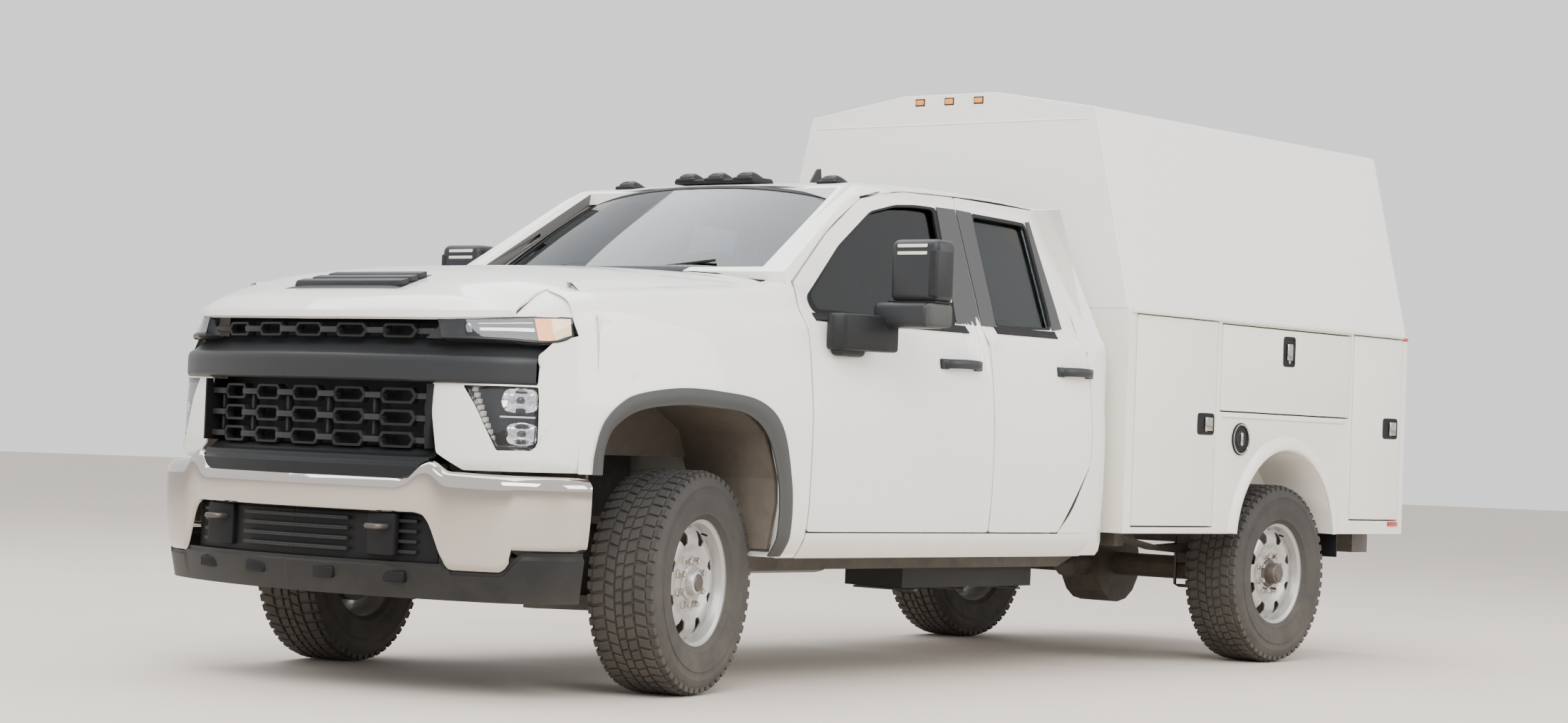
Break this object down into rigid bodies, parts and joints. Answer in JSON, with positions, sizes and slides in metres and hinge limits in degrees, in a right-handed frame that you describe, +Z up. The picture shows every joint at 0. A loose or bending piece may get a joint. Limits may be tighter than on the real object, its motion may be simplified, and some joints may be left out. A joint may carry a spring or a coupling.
{
  "type": "utility pickup truck with enclosed service body",
  "caption": "Extended-cab utility pickup truck with opening doors, steered front wheels and an enclosed high-roof service body with side lockers and rear doors.",
  "frame": {"origin": "on the ground, at the middle of the truck's length and width", "axes": "+X to the truck's left, +Y to the rear, +Z up; the front faces -Y"},
  "size_m": [2.7, 6.38, 2.544],
  "materials": {
    "white_paint": "glossy warm white body paint",
    "black_trim": "satin black moulded plastic",
    "chrome": "bright chrome plate",
    "wheel_steel": "silver-painted steel",
    "chassis": "black chassis paint with road dust",
    "exhaust_steel": "dull stainless tube",
    "tyre": "dusty black tread rubber",
    "glazing": "tinted safety glass",
    "lamp_lens": "clear lamp lens over bright reflectors",
    "liner": "dusty textured wheelhouse liner",
    "cabin_trim": "grained dark cabin plastic",
    "seat_cloth": "dark woven seat cloth",
    "tank_plastic": "black moulded tank"
  },
  "bodies": {
    "truck": {"frame": "chassis", "engine": "chassis", "driveline": "chassis", "front_suspension": "chassis", "rear_axle": "chassis", "exhaust": "exhaust_steel", "fuel_tank": "tank_plastic", "front_bumper": "chrome", "lower_valance": "black_trim", "grille": "black_trim", "cab_shell": "white_paint", "windshield": "glazing", "back_window": "glazing", "dashboard": "cabin_trim", "steering_wheel": "cabin_trim", "left_seat": "seat_cloth", "right_seat": "seat_cloth", "rear_bench": "seat_cloth", "service_body": "white_paint", "topper": "white_paint", "rear_step": "chassis", "left_headlamp": "lamp_lens", "left_fender": "white_paint", "left_wheel_liner": "liner", "right_headlamp": "lamp_lens", "right_fender": "white_paint", "right_wheel_liner": "liner"},
    "left_steering": {"left_knuckle": "chassis"},
    "left_front_wheel": {"left_front_rim": "wheel_steel", "left_front_tyre": "tyre"},
    "left_rear_wheel": {"left_rear_rim": "wheel_steel", "left_rear_tyre": "tyre"},
    "left_front_cab_door": {"left_front_door": "white_paint", "left_front_door_glass": "glazing", "left_mirror": "black_trim"},
    "left_rear_cab_door": {"left_rear_door": "white_paint", "left_rear_door_glass": "glazing"},
    "left_front_locker": {"left_front_locker_door": "white_paint"},
    "left_middle_locker": {"left_middle_locker_door": "white_paint"},
    "left_rear_locker": {"left_rear_locker_door": "white_paint"},
    "left_tail": {"left_tail_door": "white_paint", "left_tail_door_glass": "glazing"},
    "right_steering": {"right_knuckle": "chassis"},
    "right_front_wheel": {"right_front_rim": "wheel_steel", "right_front_tyre": "tyre"},
    "right_rear_wheel": {"right_rear_rim": "wheel_steel", "right_rear_tyre": "tyre"},
    "right_front_cab_door": {"right_front_door": "white_paint", "right_front_door_glass": "glazing", "right_mirror": "black_trim"},
    "right_rear_cab_door": {"right_rear_door": "white_paint", "right_rear_door_glass": "glazing"},
    "right_front_locker": {"right_front_locker_door": "white_paint"},
    "right_middle_locker": {"right_middle_locker_door": "white_paint"},
    "right_rear_locker": {"right_rear_locker_door": "white_paint"},
    "right_tail": {"right_tail_door": "white_paint", "right_tail_door_glass": "glazing"},
    "bonnet": {"hood": "white_paint"}
  },
  "joints": [
    {"name": "left_steer", "type": "hinge", "parent": "truck", "child": "left_steering", "pos_m": [0.79, -2.085, 0.413], "axis": [0, 0, 1], "range_deg": [-48, 20]},
    {"name": "left_front_wheel_spin", "type": "hinge", "parent": "left_steering", "child": "left_front_wheel", "pos_m": [0.86552, -2.06547, 0.413], "axis": [0.9681, 0.2504, 0], "continuous": true},
    {"name": "left_rear_wheel_spin", "type": "hinge", "parent": "truck", "child": "left_rear_wheel", "pos_m": [0.868, 2.043, 0.413], "axis": [1, 0, 0], "continuous": true},
    {"name": "left_front_door_hinge", "type": "hinge", "parent": "truck", "child": "left_front_cab_door", "pos_m": [1.037, -1.48, 1], "axis": [0, 0, -1], "range_deg": [0, 68]},
    {"name": "left_rear_door_hinge", "type": "hinge", "parent": "truck", "child": "left_rear_cab_door", "pos_m": [1.037, -0.308, 1], "axis": [0, 0, -1], "range_deg": [0, 68]},
    {"name": "left_front_locker_hinge", "type": "hinge", "parent": "truck", "child": "left_front_locker", "pos_m": [1.02, 0.748, 1.093], "axis": [0, 0, -1], "range_deg": [0, 90]},
    {"name": "left_middle_locker_hinge", "type": "hinge", "parent": "truck", "child": "left_middle_locker", "pos_m": [1.02, 2.026, 1.155], "axis": [0, 1, 0], "range_deg": [0, 90]},
    {"name": "left_rear_locker_hinge", "type": "hinge", "parent": "truck", "child": "left_rear_locker", "pos_m": [1.02, 2.643, 1.111], "axis": [0, 0, -1], "range_deg": [0, 90]},
    {"name": "left_tail_door_hinge", "type": "hinge", "parent": "truck", "child": "left_tail", "pos_m": [0.601, 3.179, 1.568], "axis": [0, 0, -1], "range_deg": [0, 180]},
    {"name": "right_steer", "type": "hinge", "parent": "truck", "child": "right_steering", "pos_m": [-0.79, -2.085, 0.413], "axis": [0, 0, 1], "range_deg": [-48, 20]},
    {"name": "right_front_wheel_spin", "type": "hinge", "parent": "right_steering", "child": "right_front_wheel", "pos_m": [-0.86552, -2.10453, 0.413], "axis": [0.9681, 0.2504, 0], "continuous": true},
    {"name": "right_rear_wheel_spin", "type": "hinge", "parent": "truck", "child": "right_rear_wheel", "pos_m": [-0.868, 2.043, 0.413], "axis": [1, 0, 0], "continuous": true},
    {"name": "right_front_door_hinge", "type": "hinge", "parent": "truck", "child": "right_front_cab_door", "pos_m": [-1.037, -1.48, 1], "axis": [0, 0, 1], "range_deg": [0, 68]},
    {"name": "right_rear_door_hinge", "type": "hinge", "parent": "truck", "child": "right_rear_cab_door", "pos_m": [-1.037, -0.308, 1], "axis": [0, 0, 1], "range_deg": [0, 68]},
    {"name": "right_front_locker_hinge", "type": "hinge", "parent": "truck", "child": "right_front_locker", "pos_m": [-1.02, 0.748, 1.093], "axis": [0, 0, 1], "range_deg": [0, 90]},
    {"name": "right_middle_locker_hinge", "type": "hinge", "parent": "truck", "child": "right_middle_locker", "pos_m": [-1.02, 2.026, 1.155], "axis": [0, -1, 0], "range_deg": [0, 90]},
    {"name": "right_rear_locker_hinge", "type": "hinge", "parent": "truck", "child": "right_rear_locker", "pos_m": [-1.02, 2.643, 1.111], "axis": [0, 0, 1], "range_deg": [0, 90]},
    {"name": "right_tail_door_hinge", "type": "hinge", "parent": "truck", "child": "right_tail", "pos_m": [-0.601, 3.179, 1.568], "axis": [0, 0, 1], "range_deg": [0, 180]},
    {"name": "hood_hinge", "type": "hinge", "parent": "truck", "child": "bonnet", "pos_m": [0, -1.537, 1.592], "axis": [-1, 0, 0], "range_deg": [0, 50]}
  ],
  "couplings": [
    {"joint": "right_steer", "follows": "left_steer", "ratio": 1}
  ]
}
